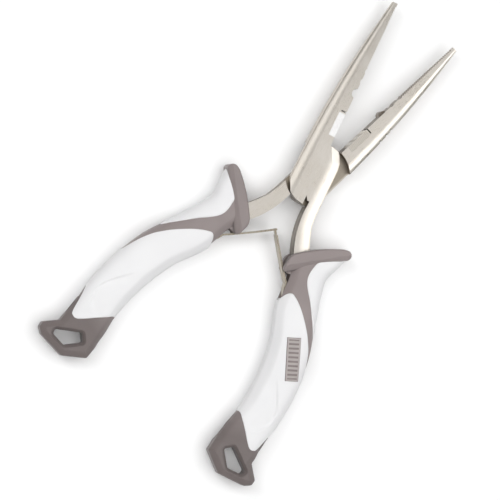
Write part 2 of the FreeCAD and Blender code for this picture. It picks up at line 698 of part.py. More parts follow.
def main():
    """Build both halves and the rivet, set them in place, check them and write them."""
    fill_sheet()
    halves = {"front": half("front"), "back": half("back")}
    halves["front"]["pivot_rivet"] = pivot_rivet("pivot_rivet")
    doc.recompute()
    failed = [item.Name for item in doc.Objects if broken(item)]
    if failed:
        raise RuntimeError("failed: " + ", ".join(failed))

    nodes = {}
    whole = FreeCAD.BoundBox()
    for side, pieces in halves.items():
        turn = placed(side == "front", FreeCAD.Vector())
        for name, item in pieces.items():
            item.Label = name
            shape = item.Shape.copy()
            shape.transformShape(turn.multiply(item.Placement).toMatrix())
            whole.add(shape.optimalBoundingBox(False, False))
            nodes[name] = item
    shift = FreeCAD.Vector(-whole.Center.x, -whole.Center.y, -whole.ZMin)
    for side, pieces in halves.items():
        for item in pieces.values():
            item.Placement = placed(side == "front", shift)
    print("pivot at", tuple(round(number, 3) for number in shift))

    os.makedirs("parts", exist_ok=True)
    for name, item in nodes.items():
        solids = len(item.Shape.Solids)
        if item.Shape.isNull() or not item.Shape.isValid() or solids != 1:
            raise RuntimeError("%s has %d solids or is not valid" % (name, solids))
        item.Shape.exportStep("parts/%s.step" % name)
        print("%-20s %9.1f mm3" % (name, item.Shape.Volume))


main()
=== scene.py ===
"""Long-nose fishing pliers, lying open, built around the fixed frame of their steel parts.

The grips are drawn in each half's closed drawing, in millimetres: the pivot at the origin, +Y
towards the jaw tips, the handle at +X and the front face at +Z. A Half turns them open and
sets them in the frame, in metres.
"""
import json
import logging
import math
from dataclasses import dataclass, field
from enum import Enum
from typing import Any, Callable, Iterable, Sequence

import bmesh
import bpy
import numpy as np
from mathutils import Matrix, Vector


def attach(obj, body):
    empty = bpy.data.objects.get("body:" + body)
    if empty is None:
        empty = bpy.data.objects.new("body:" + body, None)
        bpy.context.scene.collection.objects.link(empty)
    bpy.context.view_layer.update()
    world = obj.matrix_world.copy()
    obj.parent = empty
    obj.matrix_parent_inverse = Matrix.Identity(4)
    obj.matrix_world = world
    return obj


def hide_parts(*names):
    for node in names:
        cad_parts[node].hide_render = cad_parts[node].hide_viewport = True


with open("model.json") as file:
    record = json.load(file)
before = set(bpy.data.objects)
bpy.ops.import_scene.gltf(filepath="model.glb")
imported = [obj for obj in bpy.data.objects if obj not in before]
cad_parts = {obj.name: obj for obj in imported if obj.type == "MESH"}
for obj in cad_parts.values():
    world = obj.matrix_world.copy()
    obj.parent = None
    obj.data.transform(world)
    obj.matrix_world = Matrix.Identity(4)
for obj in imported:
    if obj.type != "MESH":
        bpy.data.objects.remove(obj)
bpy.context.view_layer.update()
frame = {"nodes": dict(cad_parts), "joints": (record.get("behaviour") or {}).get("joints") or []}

LOG = logging.getLogger("fishing_pliers")
MM = 0.001
Grid = np.ndarray
Pair = tuple[float, float]
Line = tuple[Pair, ...]
Triple = tuple[float, float, float]
Colour = Triple
Surface = tuple[Grid, list[tuple[int, ...]]]


def joint(name: str) -> dict[str, Any]:
    """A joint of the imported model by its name."""
    return next(item for item in frame["joints"] if item["name"] == name)


PIVOT = tuple(joint("jaw_pivot")["pos_m"])
OPENING = math.radians(max(joint("jaw_pivot")["range_deg"])) / 2
AIM = (PIVOT[0] - 0.0042, PIVOT[1] - 0.0426, PIVOT[2] + 0.005)


# ---- shader nodes


def arithmetic(operation: str, reflected: bool = False) -> Callable[..., "Wire"]:
    """A method that adds one Math node.

    Args:
        operation: the node's operation.
        reflected: whether the method's own wire comes second.

    Returns:
        The method. It takes the other value or wire, and gives the node's result.
    """
    def method(self: "Wire", other: Any = 0.0) -> "Wire":
        """The node's result."""
        first, second = (other, self) if reflected else (self, other)
        return self.tree.add("ShaderNodeMath", {"operation": operation}, {0: first, 1: second})

    return method


class Wire:
    """One output of a material's node tree that can be used in arithmetic."""

    __add__, __radd__ = arithmetic("ADD"), arithmetic("ADD", reflected=True)
    __sub__, __rsub__ = arithmetic("SUBTRACT"), arithmetic("SUBTRACT", reflected=True)
    __mul__, __rmul__ = arithmetic("MULTIPLY"), arithmetic("MULTIPLY", reflected=True)
    __abs__ = arithmetic("ABSOLUTE")
    at_least = arithmetic("MAXIMUM")
    sine = arithmetic("SINE")

    def __init__(self, tree: "Recipe", socket: Any) -> None:
        """Keep the tree and the output socket."""
        self.tree = tree
        self.socket = socket


class Recipe:
    """A new material, and the nodes that feed its surface."""

    def __init__(self, name: str) -> None:
        """Start an empty material with a Principled surface."""
        self.material = bpy.data.materials.new(name)
        self.material.use_nodes = True
        self.nodes = self.material.node_tree.nodes
        self.links = self.material.node_tree.links
        self.nodes.clear()
        output = self.nodes.new("ShaderNodeOutputMaterial")
        self.surface = self.nodes.new("ShaderNodeBsdfPrincipled")
        self.links.new(self.surface.outputs[0], output.inputs[0])

    def add(self, kind: str, settings: dict[str, Any], inputs: dict[Any, Any],
            output: Any = 0) -> Wire:
        """Add a node.

        Args:
            kind: the node's type.
            settings: its properties, set before its sockets; "stops" fills a colour ramp.
            inputs: a value or a Wire for each named or numbered socket.
            output: the output that is wanted.

        Returns:
            The wanted output.
        """
        node = self.nodes.new(kind)
        for key, value in settings.items():
            if key == "stops":
                self._fill_ramp(node.color_ramp, value)
            else:
                setattr(node, key, value)
        for key, value in inputs.items():
            self._feed(node.inputs[key], value)
        return Wire(self, node.outputs[output])

    def _fill_ramp(self, ramp: Any, stops: Sequence[tuple[float, Sequence[float]]]) -> None:
        """Give a colour ramp its stops, as pairs of position and colour."""
        while len(ramp.elements) < len(stops):
            ramp.elements.new(0.5)
        for element, (position, colour) in zip(ramp.elements, stops):
            element.position = position
            element.color = (*colour, 1.0)

    def _feed(self, socket: Any, value: Any) -> None:
        """Link a wire to a socket, or set the socket's own value."""
        if isinstance(value, Wire):
            self.links.new(value.socket, socket)
        elif isinstance(value, (tuple, list)) and len(value) == 3 and socket.type == "RGBA":
            socket.default_value = (*value, 1.0)
        else:
            socket.default_value = value

    def dress(self, inputs: dict[str, Any]) -> None:
        """Set or link the surface's own sockets."""
        for key, value in inputs.items():
            self._feed(self.surface.inputs[key], value)

    def closed(self, side: str) -> Wire:
        """Object coordinates turned back into a half's closed drawing.

        Args:
            side: front or back.

        Returns:
            The coordinates in metres, with the pivot at the origin.
        """
        here = self.add("ShaderNodeTexCoord", {}, {}, "Object")
        way = 1.0 if side == "front" else -1.0
        inputs = {"Vector": here, "Location": PIVOT, "Rotation": (0.0, 0.0, way * OPENING),
                  "Scale": (way, 1.0, way)}
        return self.add("ShaderNodeMapping", {"vector_type": "TEXTURE"}, inputs)

    def scaled(self, coordinates: Wire, scale: Triple) -> Wire:
        """Coordinates times a factor on each axis."""
        return self.add("ShaderNodeMapping", {}, {"Vector": coordinates, "Scale": scale})

    def axes(self, coordinates: Wire) -> list[Wire]:
        """The x, y and z of coordinates, in millimetres."""
        return [self.add("ShaderNodeSeparateXYZ", {}, {0: coordinates}, axis) * (1 / MM)
                for axis in range(3)]

    def through(self, wire: Wire, stops: Sequence[Pair]) -> Any:
        """A value that runs in straight lines through stops.

        Args:
            wire: where it is read.
            stops: pairs of place and value, with rising places.

        Returns:
            The value, held flat beyond the first and last stops.
        """
        value: Any = stops[0][1]
        for (low, start), (high, end) in zip(stops, stops[1:]):
            value = self.stretch(wire, low, high, 0.0, end - start) + value
        return value

    def noise(self, coordinates: Wire, scale: float, detail: float = 3.0) -> Wire:
        """A noise value around one half.

        Args:
            coordinates: where it is read.
            scale: its fineness.
            detail: how many finer octaves it has.

        Returns:
            The value.
        """
        inputs = {"Vector": coordinates, "Scale": scale, "Detail": detail}
        return self.add("ShaderNodeTexNoise", {}, inputs, 0)

    def blend(self, factor: Wire, low: Any, high: Any) -> Wire:
        """A colour between two by a factor."""
        inputs = {"Factor": factor, 6: low, 7: high}
        return self.add("ShaderNodeMix", {"data_type": "RGBA"}, inputs, 2)

    def stretch(self, wire: Wire, low: float, high: float, start: float, end: float) -> Wire:
        """Map a range of a value onto another, clamped at its ends."""
        inputs = {"Value": wire, "From Min": low, "From Max": high, "To Min": start,
                  "To Max": end}
        return self.add("ShaderNodeMapRange", {"clamp": True}, inputs)

    def ramp(self, wire: Wire, band: Pair, top: float = 1.0) -> Wire:
        """A mask that is zero at a band's first end and reaches its top value at the second."""
        return self.stretch(wire, *band, 0.0, top)

    def bump(self, height: Wire, strength: float, distance: float,
             under: Wire | None = None) -> Wire:
        """Turn a height into a normal.

        Args:
            height: the height value.
            strength: the bump's strength.
            distance: the height's size in metres.
            under: a bump that it lies on.

        Returns:
            The normal.
        """
        inputs = {"Height": height, "Strength": strength, "Distance": distance}
        if under is not None:
            inputs["Normal"] = under
        return self.add("ShaderNodeBump", {}, inputs)


# ---- finishes


@dataclass(frozen=True)
class SatinSteel:
    """Nickel-plated steel, rubbed along the tool."""

    name: str
    side: str = "front"
    colour: Colour = (0.69, 0.638, 0.565)
    worn: Colour = (0.78, 0.738, 0.68)
    roughness: float = 0.33
    rub: Triple = (9.0, 0.35, 9.0)
    grain: float = 0.25
    metal: float = 1.0
    scratch_scale: float = 900.0
    cloud_scale: float = 90.0
    speck_scale: float = 2600.0
    gloss_drift: Pair = (-0.06, 0.09)
    scratch_depth: float = 0.00004
    speck_depth: float = 0.00003

    def make(self) -> bpy.types.Material:
        """Build the material: long fine scratches in colour, gloss and relief."""
        recipe = Recipe(self.name)
        here = recipe.closed(self.side)
        scratches = recipe.noise(recipe.scaled(here, self.rub), self.scratch_scale, 2.0)
        cloud = recipe.noise(here, self.cloud_scale)
        speck = recipe.noise(here, self.speck_scale, 1.0)
        tone = recipe.ramp(scratches * 0.5 + cloud * 0.5, (0.35, 0.65))
        low, high = (self.roughness + drift for drift in self.gloss_drift)
        gloss = recipe.stretch(scratches + (cloud - 0.5) * 0.6, 0.3, 0.75, low, high)
        colour = self.zoned(recipe, here, recipe.blend(tone, self.colour, self.worn))
        relief = recipe.bump(scratches, self.grain, self.scratch_depth, self.rolled(recipe, here))
        relief = recipe.bump(speck, 0.2, self.speck_depth, relief)
        recipe.dress({"Base Color": colour, "Metallic": self.metal, "Roughness": gloss,
                      "Normal": relief})
        return recipe.material

    def zoned(self, recipe: Recipe, here: Wire, colour: Wire) -> Wire:
        """The colour, changed in the piece's own zones: here it has none."""
        return colour

    def rolled(self, recipe: Recipe, here: Wire) -> Wire | None:
        """A relief under the grain: here there is none."""
        return None


@dataclass(frozen=True)
class LeverSteel(SatinSteel):
    """The levers' steel: bright faces, painted shade on the rounded rims, and deeper painted shade
    on the walls.

    Lines are pairs of a place along the tool and a value there. Bands are where a mask runs
    from nothing to its full share, in millimetres of depth under the face or of place.
    """

    # Painted shade colours: a brownish one for the rounded rims and a deeper one for the walls,
    # nicks, teeth gaps and boss.
    tan: Colour = (0.43, 0.375, 0.30)
    painted_shade: Colour = (0.135, 0.108, 0.082)
    top: Line = ((10.0, 5.0), (30.0, 4.65), (50.0, 3.9), (70.0, 2.7), (84.5, 1.7))
    shank: Line = ((-36.5, 7.4), (-31.0, 4.9), (-25.0, 3.2), (-19.0, 2.3), (-12.7, 2.2))
    outer: Line = (
        (-13.0, -9.7), (10.0, -9.6), (30.0, -8.7), (50.0, -7.0), (70.0, -4.5), (84.5, -2.3))
    crease: Line = (
        (-33.5, 9.6), (-25.0, 6.2), (-20.0, 4.6), (-15.0, 4.2), (7.0, 4.2), (10.0, 3.6),
        (14.35, 1.0))
    crease_before: float = 2.2
    crease_after: float = 2.8
    crease_slope: float = 0.333
    crease_above: Pair = (3.0, 3.4)
    crease_end: Pair = (12.0, 8.0)
    # Bands, places and shares of the painted shade.
    rim_band: Pair = (0.95, 1.25)
    rim_share: float = 0.85
    rim_end: Pair = (1.3, 1.7)
    wall_band: Pair = (1.5, 2.2)
    edge_band: Pair = (0.1, 0.4)
    outer_band: Pair = (0.9, 0.25)
    outer_share: float = 0.85
    outer_start: Pair = (-12.0, -9.0)
    shank_band: Pair = (0.9, 0.5)
    shank_end: Pair = (-9.0, -11.0)
    bite: tuple[Pair, Pair] = ((-0.8, -0.5), (14.0, 17.0))
    boss: tuple[Pair, Pair] = ((0.05, 0.3), (20.0, 24.0))
    boss_share: float = 0.7
    seam_band: Pair = (0.6, 0.15)
    seam_share: float = 0.8
    mottle: Pair = (0.72, 1.0)
    nicks: tuple[float, ...] = ()
    nick_half: Pair = (0.65, 0.4)
    nick_reach: Pair = (1.1, 0.5)
    nick_share: float = 0.9

    def zoned(self, recipe: Recipe, here: Wire, colour: Wire) -> Wire:
        """Paint shade into the colour: on the rounded rims, the walls, the nicks, the gaps between
        the teeth and the crimping boss.

        Args:
            recipe: the material.
            here: coordinates of the closed drawing.
            colour: the plain steel's colour.

        Returns:
            The colour with its painted shade.
        """
        x, y, z = recipe.axes(here)
        depth = recipe.through(y, self.top) - abs(z)
        inward = x - recipe.through(y, self.outer)
        outer = recipe.ramp(inward, self.outer_band, self.outer_share)
        outer = outer * recipe.ramp(y, self.outer_start)
        # Painted shade on the side walls below the face, except on the rolled outer edge.
        wall = recipe.ramp(depth, self.wall_band) * (1 - outer)
        # Painted shade on the walls inside the nicks along the outer edge.
        flank = recipe.ramp(inward, self.nick_reach, self.nick_share)
        for place in self.nicks:
            wall = wall.at_least(flank * recipe.ramp(abs(y - place), self.nick_half))
        edge = recipe.ramp(depth, self.edge_band)
        # Painted shade on the shank's side.
        shank = edge * recipe.ramp(x - recipe.through(y, self.shank), self.shank_band)
        shank = shank * recipe.ramp(y, self.shank_end)
        # Painted shade in the gaps between the teeth along the biting edge.
        bite = recipe.ramp(x, self.bite[0]) * recipe.ramp(y, self.bite[1])
        # Painted shade over the crimping boss.
        boss = recipe.ramp(x, self.boss[0], self.boss_share) * recipe.ramp(y, self.boss[1])
        # Less painted shade on the faces at the middle plane.
        seam = recipe.ramp(abs(z), self.seam_band, self.seam_share)
        # Noise that makes the painted shade uneven.
        mottle = recipe.stretch(recipe.noise(here, 700.0, 4.0), 0.35, 0.65, *self.mottle)
        # All the deeper painted shade together.
        deep = wall.at_least(shank).at_least(edge * bite).at_least(boss) * mottle
        # Painted shade, brownish and lighter than the walls, on the rounded rims where the face
        # rolls over.
        rim = recipe.ramp(depth, self.rim_band, self.rim_share)
        rim = rim * (1 - outer * recipe.ramp(depth, self.rim_end))
        # Mix the rim's painted shade, then the deeper painted shade, into the steel's colour.
        return recipe.blend(deep * (1 - seam), recipe.blend(rim, colour, self.tan), self.painted_shade)

    def rolled(self, recipe: Recipe, here: Wire) -> Wire:
        """Roll the plate over towards the crease of its sloped strip.

        Args:
            recipe: the material.
            here: coordinates of the closed drawing.

        Returns:
            The normal of a height whose slope grows evenly from the flat plate to the strip's
            own slope. Past the crease the strip's own slope is taken off again.
        """
        x, y, z = recipe.axes(here)
        past = x - recipe.through(y, self.crease)
        reach = self.crease_before + self.crease_after
        way = recipe.ramp(past, (-self.crease_before, self.crease_after), reach)
        strip = recipe.ramp(past, (0.0, self.crease_after), self.crease_after)
        hold = recipe.ramp(z, self.crease_above) * recipe.ramp(y, self.crease_end)
        fall = strip - way * way * (0.5 / reach)
        return recipe.bump(fall * hold * (MM * self.crease_slope), 1.0, 1.0)


@dataclass(frozen=True)
class LinedSteel(SatinSteel):
    """Steel with ground lines that run nearly along the jaw."""

    line: Colour = (0.40, 0.35, 0.28)
    pitch: float = 0.52
    lean: float = math.radians(8.0)
    line_band: Pair = (-0.3, 0.9)
    line_share: float = 0.75

    def zoned(self, recipe: Recipe, here: Wire, colour: Wire) -> Wire:
        """Darken the ground lines."""
        x, y, _ = recipe.axes(here)
        across = x * math.cos(self.lean) + y * math.sin(self.lean)
        wave = (across * (2 * math.pi / self.pitch)).sine()
        share = recipe.ramp(wave, self.line_band, self.line_share)
        return recipe.blend(share, colour, self.line)


@dataclass(frozen=True)
class MouldedGrip:
    """Soft moulded grip plastic with a fine matte grain."""

    name: str
    colour: Colour
    shade: Colour
    roughness: float = 0.55
    sheen: float = 0.0
    grain: float = 0.35
    drift_scale: float = 45.0
    grain_scale: float = 3800.0
    smudge_scale: float = 160.0
    gloss_drift: Pair = (-0.05, 0.06)
    grain_depth: float = 0.00005

    def make(self) -> bpy.types.Material:
        """Build the material: spark-eroded grain and a slow drift of colour."""
        recipe = Recipe(self.name)
        here = recipe.closed("front")
        drift = recipe.noise(here, self.drift_scale)
        grain = recipe.noise(here, self.grain_scale, 2.0)
        smudge = recipe.noise(here, self.smudge_scale)
        tone = recipe.ramp(drift, (0.3, 0.7))
        low, high = (self.roughness + change for change in self.gloss_drift)
        colour = self.zoned(recipe, here, recipe.blend(tone, self.colour, self.shade))
        recipe.dress({"Base Color": colour, "Sheen Weight": self.sheen,
                      "Roughness": recipe.stretch(smudge, 0.3, 0.7, low, high),
                      "Specular IOR Level": 0.4,
                      "Normal": recipe.bump(grain, self.grain, self.grain_depth)})
        return recipe.material

    def zoned(self, recipe: Recipe, here: Wire, colour: Wire) -> Wire:
        """The colour, changed in the piece's own zones: here it has none."""
        return colour


@dataclass(frozen=True)
class GreyGrip(MouldedGrip):
    """The grey plastic, which darkens towards the tail."""

    tail: Colour = (0.135, 0.112, 0.107)
    reach: Pair = (0.100, 0.118)
    share: float = 0.85

    def zoned(self, recipe: Recipe, here: Wire, colour: Wire) -> Wire:
        """Darken with the distance from the pivot."""
        away = recipe.add("ShaderNodeVectorMath", {"operation": "LENGTH"}, {0: here}, 1)
        return recipe.blend(recipe.ramp(away, self.reach, self.share), colour, self.tail)


@dataclass(frozen=True)
class BadgeLayout:
    """Where the inlay lies on the closed front half, and its ribs."""

    middle: Pair = (25.6, -75.4)
    width: float = 6.2
    length: float = 19.0
    tilt: float = math.radians(22.8)
    frame_width: float = 0.8
    rib_pitch: float = 1.9


@dataclass(frozen=True)
class RibbedGrip(MouldedGrip):
    """The inlay's plastic, with painted shade in the valleys between its ribs and round its edge.
    """

    # The colour of the painted shade.
    valley_shade: Colour = (0.225, 0.190, 0.185)
    valley_band: Pair = (0.1, -0.5)
    edge_band: Pair = (-0.35, -0.1)
    frame_step: float = 0.1
    layout: BadgeLayout = BadgeLayout()

    def zoned(self, recipe: Recipe, here: Wire, colour: Wire) -> Wire:
        """Paint shade into the valleys and the outermost edge."""
        lay = self.layout
        x, y, _ = recipe.axes(here)
        east, north = x - lay.middle[0], y - lay.middle[1]
        u = east * math.cos(lay.tilt) + north * math.sin(lay.tilt)
        v = east * math.sin(lay.tilt) - north * math.cos(lay.tilt)
        beyond = (abs(u) - lay.width / 2).at_least(abs(v) - lay.length / 2)
        wave = (v * (2 * math.pi / lay.rib_pitch) + math.pi / 2).sine()
        inside = recipe.ramp(beyond, (-lay.frame_width, -lay.frame_width - self.frame_step))
        # Painted shade in the valleys between the ribs.
        valley_shade = recipe.ramp(wave, self.valley_band) * inside
        # Painted shade round the inlay's outermost edge.
        edge = recipe.ramp(beyond, self.edge_band)
        return recipe.blend(valley_shade.at_least(edge), colour, self.valley_shade)


class Finish(Enum):
    """The finishes of the pliers."""

    FRONT_STEEL = LeverSteel("front_satin_steel")
    # The back lever also gets painted shade on the walls of its three nicks.
    BACK_STEEL = LeverSteel("back_satin_steel", "back", nicks=(39.0, 36.0, 32.0))
    FRONT_CUTTER = SatinSteel("ground_cutter", "front", (0.74, 0.735, 0.73), (0.86, 0.855, 0.85),
                              0.4, (1.5, 1.5, 1.5), 0.5, 0.35)
    BACK_CUTTER = LinedSteel("lined_cutter", "back", (0.69, 0.65, 0.58), (0.77, 0.735, 0.68))
    SPRING = SatinSteel("spring_steel", "front", (0.33, 0.285, 0.22), (0.50, 0.45, 0.37), 0.3)
    PIN = SatinSteel("pin_steel", "front", (0.68, 0.635, 0.57), (0.77, 0.735, 0.68), 0.35)
    WHITE = MouldedGrip("white_grip", (0.745, 0.742, 0.750), (0.775, 0.773, 0.778), 0.48)
    GREY = GreyGrip("grey_grip", (0.240, 0.204, 0.199), (0.275, 0.234, 0.228), 0.6, 0.15)
    BADGE = RibbedGrip("badge_grip", (0.39, 0.35, 0.338), (0.43, 0.39, 0.377), 0.5)


class Paint:
    """Makes each finish's material once."""

    made: dict[Finish, bpy.types.Material] = {}

    @classmethod
    def of(cls, finish: Finish) -> bpy.types.Material:
        """The finish's material."""
        if finish not in cls.made:
            cls.made[finish] = finish.value.make()
        return cls.made[finish]


# ---- shapes


def smooth_through(at: Grid, stations: Iterable[Pair]) -> Grid:
    """A smooth curve through stations, a cubic between each two with slopes taken from both sides.

    Args:
        at: where the curve is read.
        stations: pairs of place and value, in any order.

    Returns:
        The values, held flat beyond the first and last stations.
    """
    x, y = np.array(sorted(stations), float).T
    slope = np.gradient(y, x)
    at = np.clip(at, x[0], x[-1])
    index = np.clip(np.searchsorted(x, at, side="right") - 1, 0, len(x) - 2)
    width = x[index + 1] - x[index]
    u = (at - x[index]) / width
    rise = y[index] * (1 + 2 * u) * (1 - u) ** 2 + y[index + 1] * u ** 2 * (3 - 2 * u)
    lean = slope[index] * u * (1 - u) ** 2 - slope[index + 1] * u ** 2 * (1 - u)
    return rise + lean * width


def spread(value: Grid, power: float) -> Grid:
    """A number's size raised to a power, with its sign kept."""
    return np.sign(value) * np.abs(value) ** power


def share_of(value: Grid, band: Pair) -> Grid:
    """How far a value has come through a band, from zero at its first end to one."""
    return np.clip((value - band[0]) / (band[1] - band[0]), 0.0, 1.0)


def eased(value: Grid, band: Pair) -> Grid:
    """The share of a band, level at both ends."""
    share = share_of(value, band)
    return share * share * (3.0 - 2.0 * share)


def softened(corners: Sequence[Pair], reach: float, count: int = 720) -> Grid:
    """A closed polygon with rounded corners: points along it averaged over a short window.

    Args:
        corners: the polygon's corners.
        reach: length of the window, about the corners' radius.
        count: how many points are returned.

    Returns:
        The points, evenly spaced along the outline.
    """
    loop = np.asarray(list(corners) + [corners[0]], float)
    length = np.concatenate([[0.0], np.cumsum(np.linalg.norm(np.diff(loop, axis=0), axis=1))])
    at = np.linspace(0.0, length[-1], count, endpoint=False)
    line = np.stack([np.interp(at, length, loop[:, k]) for k in range(2)], axis=1)
    half = max(1, int(round(reach / length[-1] * count / 2)))
    weight = np.hanning(2 * half + 3)[1:-1]
    turns = np.fft.rfft(line, axis=0)
    kernel = np.zeros(count)
    kernel[np.arange(-half, half + 1) % count] = weight / weight.sum()
    return np.fft.irfft(turns * np.fft.rfft(kernel)[:, None], n=count, axis=0)


def anticlockwise(loop: Grid) -> Grid:
    """A loop, reversed if it runs clockwise."""
    after = np.roll(loop, -1, axis=0)
    area = np.sum(loop[:, 0] * after[:, 1] - loop[:, 1] * after[:, 0])
    return loop[::-1] if area < 0 else loop


def over_rim(run: float, drop: float) -> tuple[Grid, Grid]:
    """Steps of a quarter turn over a rim: how far in along the surface, and how deep."""
    turn = np.linspace(0, math.pi / 2, 6)
    return run * (1 - np.cos(turn)), drop * (1 - np.sin(turn))


def polar(loop: Grid, centre: Pair, angles: Grid) -> Grid:
    """Distance from a centre to a loop around it, at each angle."""
    offset = loop - np.asarray(centre)
    bearing = np.arctan2(offset[:, 1], offset[:, 0]) % (2 * math.pi)
    order = np.argsort(bearing)
    reach = np.linalg.norm(offset, axis=1)[order]
    return np.interp(angles, bearing[order], reach, period=2 * math.pi)


def inset(loop: Grid, distance: float) -> Grid:
    """A counter-clockwise loop moved inwards along its normals."""
    along = np.roll(loop, -1, axis=0) - np.roll(loop, 1, axis=0)
    along /= np.linalg.norm(along, axis=1, keepdims=True)
    inward = np.stack([-along[:, 1], along[:, 0]], axis=1)
    return loop + inward * distance


class Join(Enum):
    """How a grid of rings closes."""

    RINGS = "rings"      # around each ring; the first and last rings are capped
    TORUS = "torus"      # around each ring and from the last ring to the first


def grid_faces(rows: int, columns: int, wrap_rows: bool) -> Grid:
    """Quads of a grid whose columns wrap round, and whose rows may."""
    i = np.arange(rows if wrap_rows else rows - 1)[:, None]
    j = np.arange(columns)[None, :]
    after = (i + 1) % rows
    right = (j + 1) % columns
    quads = [i * columns + j, i * columns + right, after * columns + right, after * columns + j]
    return np.stack(np.broadcast_arrays(*quads), axis=-1).reshape(-1, 4)


def shell(points: Grid, join: Join) -> Surface:
    """Vertices and faces of a closed surface made of rings.

    Args:
        points: rings by places by three coordinates.
        join: how the grid closes.

    Returns:
        The vertices and the faces, before they are turned outwards.
    """
    rows, columns = points.shape[:2]
    vertices = points.reshape(-1, 3)
    faces = [tuple(quad) for quad in grid_faces(rows, columns, join is Join.TORUS).tolist()]
    if join is Join.RINGS:
        poles = np.stack([points[0].mean(axis=0), points[-1].mean(axis=0)])
        vertices = np.concatenate([vertices, poles])
        near = np.arange(columns)
        after = (near + 1) % columns
        count = rows * columns
        base = count - columns
        first = np.stack([np.full(columns, count), after, near], axis=1)
        last = np.stack([np.full(columns, count + 1), base + near, base + after], axis=1)
        faces += [tuple(face) for face in np.concatenate([first, last]).tolist()]
    return vertices, faces


@dataclass
class Half:
    """One half of the tool: where its closed drawing lies in the frame."""

    side: str

    @property
    def body(self) -> str:
        """The body that the half's own pieces ride on."""
        return self.side + "_half"

    def node(self, part: str) -> str:
        """The name of one of the half's nodes."""
        return f"{self.side}_{part}"

    def place(self, points: Grid) -> Grid:
        """Turn points of the closed drawing, in millimetres, into the frame, in metres.

        Args:
            points: any array whose last axis is x, y, z.

        Returns:
            The placed points: the back half is first turned half a turn about Y, then each
            half is turned open about the pivot.
        """
        way = 1.0 if self.side == "front" else -1.0
        turned = points * (way, 1.0, way)
        cosine, sine = math.cos(way * OPENING), math.sin(way * OPENING)
        x = turned[..., 0] * cosine - turned[..., 1] * sine
        y = turned[..., 0] * sine + turned[..., 1] * cosine
        return np.stack([x, y, turned[..., 2]], axis=-1) * MM + np.asarray(PIVOT)


def make_piece(name: str, parts: Sequence[Surface],
               finish: Finish, sharp: float = 38.0) -> bpy.types.Object:
    """A smooth-shaded piece of one or more closed surfaces.

    Args:
        name: the piece's name.
        parts: vertices and faces of each surface.
        finish: what it is made of.
        sharp: edges that turn more than this many degrees stay sharp.

    Returns:
        The new object.
    """
    vertices: list[Grid] = []
    faces: list[tuple[int, ...]] = []
    start = 0
    for points, quads in parts:
        faces += [tuple(index + start for index in quad) for quad in quads]
        vertices.append(points)
        start += len(points)
    mesh = bpy.data.meshes.new(name)
    mesh.from_pydata(np.concatenate(vertices).tolist(), [], faces)
    piece = add_object(name, mesh)
    turn_outwards(mesh)
    mesh.shade_smooth()
    mesh.set_sharp_from_angle(angle=math.radians(sharp))
    mesh.materials.append(Paint.of(finish))
    return piece


def add_object(name: str, data: Any) -> bpy.types.Object:
    """Put a new object into the scene, at the origin."""
    made = bpy.data.objects.new(name, data)
    bpy.context.scene.collection.objects.link(made)
    return made


def turn_outwards(mesh: bpy.types.Mesh) -> None:
    """Merge doubled vertices and turn every closed surface's faces outwards."""
    work = bmesh.new()
    work.from_mesh(mesh)
    bmesh.ops.remove_doubles(work, verts=work.verts, dist=1e-7)
    bmesh.ops.dissolve_degenerate(work, dist=1e-8, edges=work.edges)
    bmesh.ops.recalc_face_normals(work, faces=work.faces)
    work.to_mesh(mesh)
    work.free()


# ---- the grips


